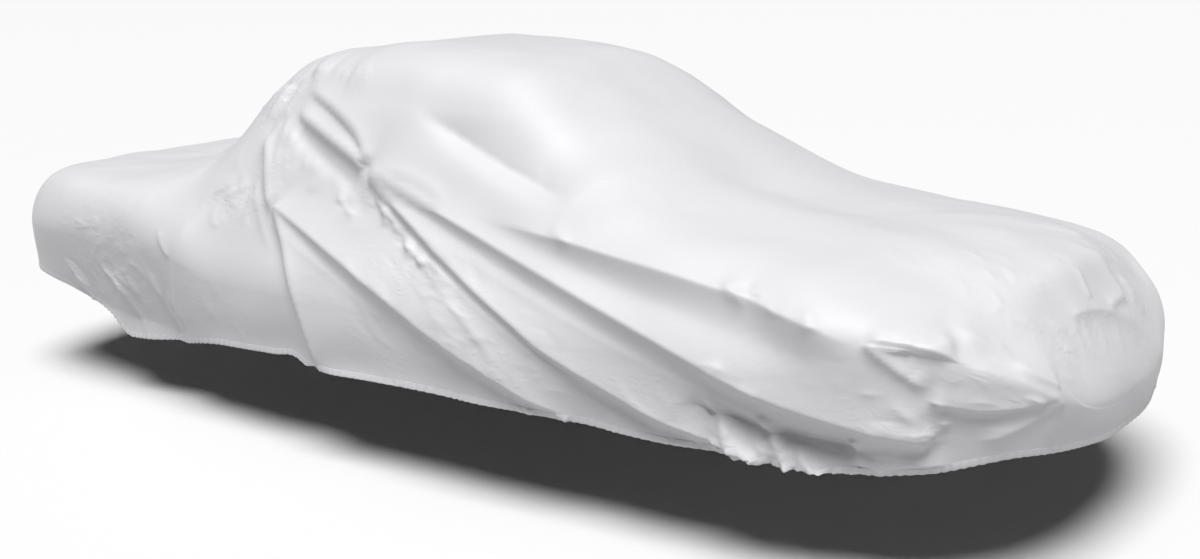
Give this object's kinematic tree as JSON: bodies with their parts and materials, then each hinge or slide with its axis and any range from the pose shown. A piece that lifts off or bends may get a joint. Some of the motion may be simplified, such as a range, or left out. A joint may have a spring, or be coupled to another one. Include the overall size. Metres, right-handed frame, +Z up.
{
  "type": "fitted car cover",
  "caption": "Thin silver cloth cover fitted over a low two-seat coupe, draped with long diagonal creases and drawn in along its elastic hem.",
  "frame": {"origin": "underside of the cloth on the centre line under the top of the roof, where the covered body carries it", "axes": "+X towards the nose, +Y away from the side with the long diagonal creases, +Z up"},
  "size_m": [4.4067, 1.6817, 1.0979],
  "materials": {
    "silver_cloth": "satin"
  },
  "bodies": {
    "root": {"cover": "silver_cloth"}
  },
  "joints": []
}
